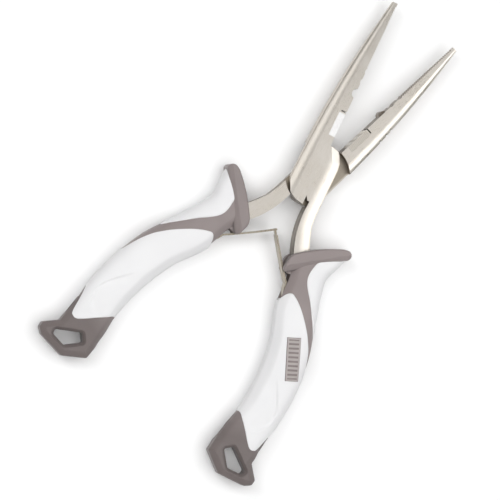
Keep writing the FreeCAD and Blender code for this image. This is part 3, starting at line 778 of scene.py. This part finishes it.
@dataclass
class GripForm:
    """The rounded form of a grip: rounded sections square to Y, in the closed drawing."""

    places: tuple[float, ...] = (-24.0, -31.0, -37.0, -45.0, -56.0, -71.0, -88.0, -105.0,
                                 -117.0, -124.0)
    inner: tuple[float, ...] = (14.0, 10.5, 7.8, 8.4, 9.0, 13.6, 15.5, 14.4, 11.6, 10.8)
    outer: tuple[float, ...] = (29.6, 27.2, 24.9, 25.9, 28.8, 33.1, 34.5, 33.2, 30.7, 30.0)
    depth: tuple[float, ...] = (6.0, 6.4, 6.8, 6.9, 7.0, 7.2, 7.2, 6.5, 5.6, 5.2)
    roundness: float = 2.6
    bevel_base: float = 2.9
    bevel_slope: float = 0.92
    bevel_blend: float = 0.5
    scoop: Line = (
        (-82.0, 21.0), (-86.0, 23.5), (-91.8, 26.6), (-97.5, 29.2), (-102.0, 30.1), (-106.0, 29.0),
        (-109.4, 26.8), (-111.2, 24.4), (-112.6, 19.0), (-113.6, 10.0))
    scoop_wall: Pair = (0.0, 1.2)
    scoop_floor: Pair = (2.0, 9.0)
    scoop_top: Pair = (-84.0, -92.0)
    scoop_tail: Pair = (-112.5, -108.0)
    scoop_facing: Pair = (3.0, 5.0)
    scoop_depth: float = 0.6
    settle_steps: int = 80
    settle_share: float = 0.4

    def section(self, y: Grid) -> tuple[Grid, Grid, Grid]:
        """Middle, half width and half depth of the sections at some places."""
        inner, outer, depth = (smooth_through(y, zip(self.places, values))
                               for values in (self.inner, self.outer, self.depth))
        return (inner + outer) / 2, (outer - inner) / 2, depth

    def across(self, y: Grid, angle: Grid, sunk: Grid | float) -> tuple[Grid, Grid]:
        """The x and z of the form at a place and an angle round it.

        Args:
            y: the places.
            angle: zero at the outer edge and a quarter turn on the front face.
            sunk: how far inside the form.

        Returns:
            The x and z: a rounded box, flatter on its faces than an ellipse.
        """
        middle, wide, deep = self.section(y)
        power = 2.0 / self.roundness
        x = middle + (wide - sunk) * spread(np.cos(angle), power)
        z = (deep - sunk) * spread(np.sin(angle), power)
        return x, np.sign(z) * self.bevelled(np.abs(z), x - middle + wide - sunk)

    def bevelled(self, height: Grid, across: Grid) -> Grid:
        """Keep a height under the slope that rises from the inner edge.

        Args:
            height: the form's height.
            across: the distance from the inner edge.

        Returns:
            The smaller of the two, rounded where they meet.
        """
        slope = self.bevel_base + self.bevel_slope * across
        share = np.clip(0.5 + (slope - height) / (2 * self.bevel_blend), 0.0, 1.0)
        blend = self.bevel_blend * share * (1 - share)
        return slope + (height - slope) * share - blend

    def scooped(self, x: Grid, y: Grid, z: Grid) -> Grid:
        """Heights with the shallow thumb scoop pressed into the lower palm, on both faces.

        Args:
            x: places across the grip.
            y: places along it.
            z: the form's heights there.

        Returns:
            The heights, lowered just inside the scoop's curved edge and rising again beyond.
        """
        within = smooth_through(y, self.scoop) - x
        press = eased(within, self.scoop_wall) * (1 - eased(within, self.scoop_floor))
        ends = eased(y, self.scoop_top) * eased(y, self.scoop_tail)
        facing = eased(np.abs(z), self.scoop_facing)
        return z - np.sign(z) * self.scoop_depth * press * ends * facing

    def surface(self, y: Grid, angle: Grid, sunk: Grid | float = 0.0) -> Grid:
        """Points of the form."""
        x, z = self.across(y, angle, sunk)
        x, y, z = np.broadcast_arrays(x, y, z)
        return np.stack([x, y, self.scooped(x, y, z)], axis=-1)

    def height(self, x: Grid, y: Grid) -> Grid:
        """How high the form's front face stands over places of the drawing."""
        middle, wide, deep = self.section(y)
        share = np.clip(np.abs(x - middle) / wide, 0.0, 1.0)
        height = deep * (1 - share ** self.roundness) ** (1 / self.roundness)
        return self.scooped(x, y, self.bevelled(height, x - middle + wide))

    def settle(self, line: Sequence[Pair], angle: Grid, start: float) -> Grid:
        """Where a drawn line crosses the form at each angle.

        Args:
            line: the line's corners, each an x and a y, from the inner to the outer side.
            angle: the angles round the form.
            start: a first place.

        Returns:
            The places, found by stepping towards the line's y at the form's present x.
        """
        y = np.full_like(angle, start)
        for _ in range(self.settle_steps):
            x, _ = self.across(y, angle, 0.0)
            y = y + self.settle_share * (smooth_through(x, line) - y)
        return y

    def bearing(self, x: Grid, y: Grid) -> Grid:
        """The angle at which the form's front face crosses a given x."""
        middle, wide, _ = self.section(y)
        share = np.clip((x - middle) / wide, -1.0, 1.0)
        return np.arccos(spread(share, self.roundness / 2))


@dataclass
class SpringSlot:
    """The slot at the grip's mid-depth that the leaf spring swings in."""

    half: float = 3.2
    floor: Line = ((-30.0, 9.3), (-43.0, 10.6), (-52.5, 14.2), (-57.0, 14.6))
    low: float = -57.0

    def carve(self, points: Grid) -> Grid:
        """Push what lies in the slot's band back to the slot's floor.

        Args:
            points: points of the closed drawing.

        Returns:
            The points, with x no less than the floor inside the band.
        """
        floor = np.interp(points[..., 1], *zip(*sorted(self.floor)))
        inside = (np.abs(points[..., 2]) < self.half) & (points[..., 1] > self.low)
        carved = points.copy()
        carved[..., 0] = np.where(inside, np.maximum(points[..., 0], floor), points[..., 0])
        return carved


@dataclass
class GripCore:
    """The grey part of a grip: neck and band, finger guard, and tail with its lanyard eye."""

    form: GripForm
    slot: SpringSlot = field(default_factory=SpringSlot)
    sunk: float = 0.35
    neck_top: Line = ((5.0, -38.2), (26.0, -27.6))
    neck_end: float = -113.0
    neck_rings: int = 150
    round_count: int = 256
    guard: Line = (
        (4.9, -35.9), (6.2, -33.9), (10.0, -31.0), (15.5, -27.3), (20.5, -24.6), (25.0, -22.6),
        (27.6, -22.2), (29.2, -23.2), (29.7, -24.8), (29.2, -26.0), (26.0, -28.0), (20.0, -32.4),
        (10.0, -40.0), (6.2, -42.9), (4.6, -41.6))
    guard_half: float = 7.4
    guard_round: float = 2.6
    guard_rim: float = 1.0
    guard_inset: float = 3.2
    guard_ridge: tuple[Pair, Pair] = ((5.0, -41.6), (28.6, -25.3))
    spine_offset: float = 2.4
    spine_reach: Pair = (4.6, 25.0)
    facet_lead: float = 1.4
    guard_facet: float = 0.75
    tail: Line = (
        (18.0, -101.0), (14.4, -105.6), (12.4, -112.5), (11.0, -119.5), (10.1, -126.4),
        (18.4, -133.6), (31.0, -133.7), (34.0, -132.0), (34.5, -129.5), (29.9, -123.5),
        (31.1, -116.6), (31.9, -111.0), (29.0, -104.0), (26.0, -101.0))
    tail_half: float = 5.3
    tail_round: float = 1.8
    tail_swell: Line = ((-121.0, 5.3), (-116.0, 5.3), (-108.0, 6.1), (-101.0, 6.1))
    tail_hold: Pair = (-121.0, -117.0)
    tail_bevel: float = 2.6
    tail_drop: float = 1.7
    eye: Line = ((16.1, -123.0), (21.0, -129.8), (27.8, -129.8), (28.6, -127.8), (19.4, -120.4))
    eye_round: float = 2.6
    eye_lip: float = 1.1
    eye_step: float = 0.9
    eye_centre: Pair = (22.2, -126.0)

    def build(self, half: Half) -> bpy.types.Object:
        """Make the core and let it stand for its node."""
        parts = [self.neck(half), self.guard_slab(half), self.tail_loop(half)]
        piece = make_piece(half.node("core_skin"), parts, Finish.GREY)
        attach(piece, half.body)
        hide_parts(half.node("grip_core"))
        return piece

    def neck(self, half: Half) -> Surface:
        """The grip's form, drawn in a little, from the guard into the tail."""
        angle = np.linspace(0, 2 * math.pi, self.round_count, endpoint=False)
        top = self.form.settle(self.neck_top, angle, -34.0)
        share = np.linspace(0.0, 1.0, self.neck_rings)[:, None]
        y = top[None, :] + (self.neck_end - top[None, :]) * share
        points = self.form.surface(y, angle[None, :], self.sunk)
        return shell(half.place(self.slot.carve(points)), Join.RINGS)

    def guard_slab(self, half: Half) -> Surface:
        """The finger guard: a rounded slab whose front and back slope beyond a ridge.

        Rings step up the side wall, over a rounded rim, and in over the face to the slab's
        middle line, then mirror down to the other face.
        """
        loop = anticlockwise(softened(self.guard, self.guard_round))
        start, stop = (np.asarray(end) for end in self.guard_ridge)
        along = (stop - start) / np.linalg.norm(stop - start)
        inner = inset(loop, self.guard_inset)
        middle = start + self.spine_offset * np.array([-along[1], along[0]])
        reach = np.clip((inner - middle) @ along, *self.spine_reach)
        spine = middle + reach[:, None] * along
        rim = self.guard_rim
        levels = [(loop, z) for z in wall_levels(self.slot.half, self.guard_half - rim)]
        levels += [(inset(loop, run), self.guard_half - dip)
                   for run, dip in list(zip(*over_rim(rim, rim)))[1:]]
        flat = levels[-1][0]
        levels += [(flat + (spine - flat) * share, self.guard_half)
                   for share in np.linspace(0, 1, 14)[1:]]
        rings = np.stack([np.column_stack([ring, np.full(len(ring), z)]) for ring, z in levels])
        away = np.array([along[1], -along[0]])
        past = np.clip((rings[..., :2] - start) @ away + self.facet_lead, 0.0, None)
        top = rings[..., 2] > self.guard_half - 2 * rim
        rings[..., 2] -= np.where(top, past * self.guard_facet, 0.0)
        under = rings[1:][::-1] * (1.0, 1.0, -1.0)
        whole = self.slot.carve(np.concatenate([under, rings]))
        return shell(half.place(whole), Join.RINGS)

    def tail_loop(self, half: Half) -> Surface:
        """The tail: a plate with sloped rims and a stepped eye right through it.

        Rings step from the outer wall over the sloped rim, across the face, down the step
        round the eye and through it; the same rings mirrored close it underneath.
        """
        angles = np.linspace(0, 2 * math.pi, 320, endpoint=False)
        outer = anticlockwise(softened(self.tail, self.tail_round))
        eye = anticlockwise(softened(self.eye, self.eye_round))

        def ring(loop: Grid) -> Grid:
            """The loop's distances from the eye's centre."""
            return polar(loop, self.eye_centre, angles)

        face, step = self.tail_half, self.eye_step
        bevel, drop = self.tail_bevel, self.tail_drop
        lip = ring(inset(eye, -self.eye_lip))
        inner_face = ring(inset(outer, bevel))
        rim_steps = ((0.18, drop + 0.12), (0.55, drop - 0.25), (bevel - 0.5, 0.28),
                     (bevel - 0.05, 0.06))
        eye_steps = ((0.25, 0.35), (0.05, 0.65), (0.0, 1.1), (0.0, face - step))
        levels = [(ring(outer), z) for z in (0.0, 1.6, face - drop - 0.5)]
        levels += [(ring(inset(outer, run)), face - down) for run, down in rim_steps]
        levels += [(inner_face + (lip + 0.5 - inner_face) * share, face)
                   for share in np.linspace(0.08, 1, 9)]
        levels += [(lip + 0.15, face - 0.04), (lip, face - 0.22)]
        levels += [(ring(inset(eye, -run)), face - step - down) for run, down in eye_steps]
        rings = []
        for reach, z in levels:
            x = self.eye_centre[0] + reach * np.cos(angles)
            y = self.eye_centre[1] + reach * np.sin(angles)
            level = z * smooth_through(y, self.tail_swell) / self.tail_half
            below = self.form.height(x, y) - self.sunk
            hold = share_of(y, self.tail_hold)
            rings.append(np.stack([x, y, level + hold * (np.minimum(level, below) - level)],
                                  axis=-1))
        upper = np.stack(rings)
        lower = upper[1:-1][::-1] * (1.0, 1.0, -1.0)
        return shell(half.place(np.concatenate([upper, lower])), Join.TORUS)


def wall_levels(band: float, top: float) -> list[float]:
    """Levels up a side wall from the middle, close together at a slot's edge."""
    return [0.0, band * 0.5, band - 0.02, band + 0.02, (band + top) / 2, top]


@dataclass
class Sleeve:
    """The white palm part: a thin shell round the grip between two curved ends."""

    form: GripForm
    upper: Line = (
        (8.8, -54.8), (9.6, -53.2), (10.7, -51.2), (12.8, -49.9), (15.0, -50.9), (18.0, -53.1),
        (23.0, -58.2), (28.0, -64.8), (31.0, -70.3), (33.0, -76.5), (34.4, -83.5))
    lower: Line = (
        (13.9, -105.6), (15.2, -105.9), (17.0, -108.0), (20.0, -111.5), (24.0, -116.3),
        (25.8, -118.1), (27.3, -118.7), (28.6, -118.2), (29.5, -116.4), (30.4, -113.4),
        (31.4, -110.2), (32.5, -107.0), (33.4, -104.4), (34.4, -101.8))
    thickness: float = 1.5
    rim: float = 0.45
    length: float = 56.0
    rings: int = 180
    round_count: int = 288

    def build(self, half: Half) -> bpy.types.Object:
        """Make the sleeve and let it stand for its node."""
        angle = np.linspace(0, 2 * math.pi, self.round_count, endpoint=False)
        top = self.form.settle(self.upper, angle, -60.0)
        base = self.form.settle(self.lower, angle, -110.0)
        share, sunk = self.profile()
        y = top[None, :] + (base - top)[None, :] * share[:, None]
        points = self.form.surface(y, angle[None, :], sunk[:, None])
        piece = make_piece(half.node("sleeve_skin"), [shell(half.place(points), Join.TORUS)],
                           Finish.WHITE)
        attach(piece, half.body)
        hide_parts(half.node("sleeve"))
        return piece

    def profile(self) -> tuple[Grid, Grid]:
        """The shell's section: share of its length and depth, round both rims and back."""
        near, dip = over_rim(self.rim / self.length, self.rim)
        middle = np.linspace(near[-1], 1 - near[-1], self.rings)[1:-1]
        share = np.concatenate([near, middle, 1 - near[::-1], [1.0, 0.5, 0.0]])
        sunk = np.concatenate([dip, np.zeros(len(middle)), dip[::-1],
                               np.full(3, self.thickness)])
        return share, sunk


@dataclass
class ShoulderPad:
    """The white pad under the guard, round the grip's outer edge."""

    form: GripForm
    inner: Line = (
        (-25.9, 20.2), (-27.0, 19.5), (-32.0, 17.4), (-35.5, 16.4), (-38.0, 15.9), (-40.5, 15.9),
        (-43.0, 16.7), (-46.0, 18.7), (-50.0, 21.9), (-56.0, 26.0), (-60.0, 28.7), (-63.6, 30.9))
    top: float = -25.9
    base: float = -63.4
    fade: float = 1.2
    thickness: float = 1.5
    rim: float = 0.45
    rim_share: float = 0.045

    def build(self, half: Half) -> bpy.types.Object:
        """Make the pad and let it stand for its node."""
        y = np.linspace(self.top, self.base, 150)
        reach = self.form.bearing(smooth_through(y, self.inner), y)
        share, sunk = self.loop()
        fade = np.clip((y - self.base) / self.fade, 0.02, 1.0)[:, None]
        angle = reach[:, None] * share[None, :]
        points = self.form.surface(y[:, None], angle, sunk[None, :] + 0.3 * (1 - fade))
        piece = make_piece(half.node("pad_skin"), [shell(half.place(points), Join.RINGS)],
                           Finish.WHITE)
        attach(piece, half.body)
        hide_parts(half.node("shoulder_pad"))
        return piece

    def loop(self) -> tuple[Grid, Grid]:
        """The pad's section: share of its reach round the form, and depth."""
        near, dip = over_rim(self.rim_share, self.rim)
        middle = np.linspace(-1 + near[-1], 1 - near[-1], 60)[1:-1]
        back = np.linspace(1, -1, 12)
        share = np.concatenate([-1 + near, middle, 1 - near[::-1], back])
        sunk = np.concatenate([dip, np.zeros(len(middle)), dip[::-1],
                               np.full(len(back), self.thickness)])
        return share, sunk


@dataclass
class BadgeInlay:
    """A plain ribbed inlay on the front grip."""

    form: GripForm
    layout: BadgeLayout = BadgeLayout()
    proud: float = 0.5
    rib_height: float = 0.32
    rib_steepness: float = 2.2
    edge_run: float = 0.25
    frame_run: float = 0.15
    root: float = 1.4

    def build(self, half: Half) -> bpy.types.Object:
        """Make the inlay: a thin block that follows the grip, with ribs inside a flat frame."""
        lay = self.layout
        u, v = np.meshgrid(self.steps(lay.width), self.steps(lay.length))
        cosine, sine = math.cos(lay.tilt), math.sin(lay.tilt)
        x = lay.middle[0] + u * cosine + v * sine
        y = lay.middle[1] + u * sine - v * cosine
        base = self.form.height(x, y)
        within = np.minimum(lay.width / 2 - np.abs(u), lay.length / 2 - np.abs(v))
        edge = np.clip(within / self.edge_run, 0, 1)
        ribbed = np.clip((within - lay.frame_width) / self.frame_run, 0, 1)
        wave = np.clip(np.cos(2 * math.pi * v / lay.rib_pitch) * self.rib_steepness, -1, 1)
        lift = self.proud * np.sqrt(edge) - ribbed * (1 - wave) * self.rib_height / 2
        top = np.stack([x, y, base + lift], axis=-1)
        bottom = np.stack([x, y, base - self.root], axis=-1)
        piece = make_piece("badge_skin", [self.block(half, top, bottom)], Finish.BADGE)
        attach(piece, half.body)
        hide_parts("badge_inlay")
        return piece

    def steps(self, size: float) -> Grid:
        """Evenly spaced places across a size, with a few close ones at both edges."""
        edge = np.array([0.0, 0.06, 0.14, 0.25])
        middle = np.linspace(-size / 2 + 0.35, size / 2 - 0.35, int(size / 0.16))
        return np.concatenate([-size / 2 + edge, middle, (size / 2 - edge)[::-1]])

    def block(self, half: Half, top: Grid, bottom: Grid) -> Surface:
        """Close a top sheet and a bottom sheet into one block."""
        rows, columns = top.shape[:2]
        i, j = np.meshgrid(np.arange(rows - 1), np.arange(columns - 1), indexing="ij")
        near, count = i * columns + j, rows * columns
        quads = np.stack([near, near + 1, near + columns + 1, near + columns],
                         axis=-1).reshape(-1, 4)
        number = np.arange(count).reshape(rows, columns)
        rim = np.concatenate([number[0, :-1], number[:-1, -1], number[-1, :0:-1],
                              number[:0:-1, 0]])
        after = np.roll(rim, -1)
        walls = np.stack([rim, after, after + count, rim + count], axis=-1)
        faces = np.concatenate([quads, quads[:, ::-1] + count, walls])
        points = np.concatenate([top.reshape(-1, 3), bottom.reshape(-1, 3)])
        return half.place(points), [tuple(face) for face in faces.tolist()]


# ---- the steel parts


@dataclass
class SteelWork:
    """The steel pieces, which keep their shapes and get their finishes."""

    finishes: dict[str, Finish] = field(default_factory=lambda: {
        "front_lever": Finish.FRONT_STEEL, "back_lever": Finish.BACK_STEEL,
        "front_cutter": Finish.FRONT_CUTTER, "back_cutter": Finish.BACK_CUTTER,
        "front_leaf_spring": Finish.SPRING, "back_leaf_spring": Finish.SPRING,
        "front_spring_pin": Finish.PIN, "back_spring_pin": Finish.PIN,
        "pivot_rivet": Finish.FRONT_STEEL})

    def dress(self) -> None:
        """Give every steel node its finish."""
        for node, finish in self.finishes.items():
            for slot in frame["nodes"][node].material_slots:
                slot.material = Paint.of(finish)


# ---- the studio


@dataclass(frozen=True)
class Lamp:
    """A softbox: where it hangs from the aim, its two sizes and its power.

    A mirrored one shows only in glossy surfaces, and any other only lights matte ones.
    """

    name: str
    place: Triple
    width: float
    length: float
    power: float
    mirrored: bool = False

    def hang(self, aim: Triple) -> None:
        """Add the lamp, turned towards the aim.

        Args:
            aim: the point that it looks at.
        """
        data = bpy.data.lights.new(self.name, "AREA")
        data.shape = "RECTANGLE"
        data.size = self.length
        data.size_y = self.width
        data.energy = self.power
        lamp = add_object(self.name, data)
        lamp.location = Vector(aim) + Vector(self.place)
        lamp.rotation_euler = Vector(self.place).to_track_quat("Z", "Y").to_euler()
        lamp.visible_glossy = self.mirrored
        lamp.visible_diffuse = not self.mirrored


@dataclass
class Studio:
    """Pale floor, soft lights and the camera."""

    aim: Triple
    tilt: float = 0.187
    distance: float = 1.5
    frame_width: float = 0.216
    sensor: float = 36.0
    floor_reach: float = 3.0
    glow: float = 0.22

    def build(self) -> None:
        """Set up the floor, the lights, the world and the camera."""
        self.floor()
        self.world()
        for lamp in self.lamps():
            lamp.hang(self.aim)
        self.camera()

    def lamps(self) -> list[Lamp]:
        """The key, which only shades and casts shadows, and the softboxes the steel mirrors."""
        return [Lamp("key", (-1.10, 0.00, 1.50), 0.80, 0.80, 8.8),
                Lamp("sky", (0.30, 0.08, 2.18), 2.60, 2.60, 52.0),
                Lamp("overhead", (0.36, 0.27, 2.30), 1.10, 1.10, 2.6, mirrored=True),
                Lamp("left_box", (-1.36, 0.00, 1.87), 1.90, 1.90, 12.8, mirrored=True),
                Lamp("streak", (1.00, 0.24, 1.13), 0.95, 1.70, 10.5, mirrored=True)]

    def direction(self) -> Vector:
        """From the object to the camera: nearly overhead, leaning towards the back handle."""
        return Vector((-0.8 * math.sin(self.tilt), -0.6 * math.sin(self.tilt),
                       math.cos(self.tilt)))

    def camera(self) -> None:
        """Add the camera, with the tool's long axis turned to lie across the view."""
        data = bpy.data.cameras.new("camera")
        data.sensor_width = self.sensor
        data.lens = self.sensor * self.distance / self.frame_width
        data.clip_end = 20.0
        camera = add_object("camera", data)
        back = self.direction()
        upward = Vector((-0.6, 0.8, 0.0))
        right = upward.cross(back)
        turn = Matrix((right, upward, back)).transposed().to_4x4()
        place = Vector(self.aim) + back * self.distance
        camera.matrix_world = Matrix.Translation(place) @ turn
        bpy.context.scene.camera = camera

    def floor(self) -> None:
        """Add the pale floor."""
        reach = self.floor_reach
        mesh = bpy.data.meshes.new("floor")
        corners = [(-reach, -reach, 0), (reach, -reach, 0), (reach, reach, 0),
                   (-reach, reach, 0)]
        mesh.from_pydata(corners, [], [(0, 1, 2, 3)])
        floor = add_object("floor", mesh)
        recipe = Recipe("floor")
        recipe.dress({"Base Color": (0.93, 0.93, 0.93), "Roughness": 0.9,
                      "Specular IOR Level": 0.1})
        mesh.materials.append(recipe.material)

    def world(self) -> None:
        """Fill the surroundings with an even soft light."""
        world = bpy.data.worlds.new("studio")
        world.use_nodes = True
        background = world.node_tree.nodes["Background"]
        background.inputs["Color"].default_value = (1.0, 1.0, 1.0, 1.0)
        background.inputs["Strength"].default_value = self.glow
        bpy.context.scene.world = world
        bpy.context.scene.view_settings.view_transform = "Standard"


def main() -> None:
    """Build the grips round the steel, then the studio."""
    logging.basicConfig(level=logging.INFO)
    halves = [Half(side) for side in ("front", "back")]
    SteelWork().dress()
    form = GripForm()
    for half in halves:
        for maker in (GripCore(form), Sleeve(form), ShoulderPad(form)):
            piece = maker.build(half)
            LOG.info("%s: %d faces", piece.name, len(piece.data.polygons))
    badge = BadgeInlay(form).build(halves[0])
    LOG.info("%s: %d faces", badge.name, len(badge.data.polygons))
    Studio(AIM).build()


if __name__ == "__main__":
    main()
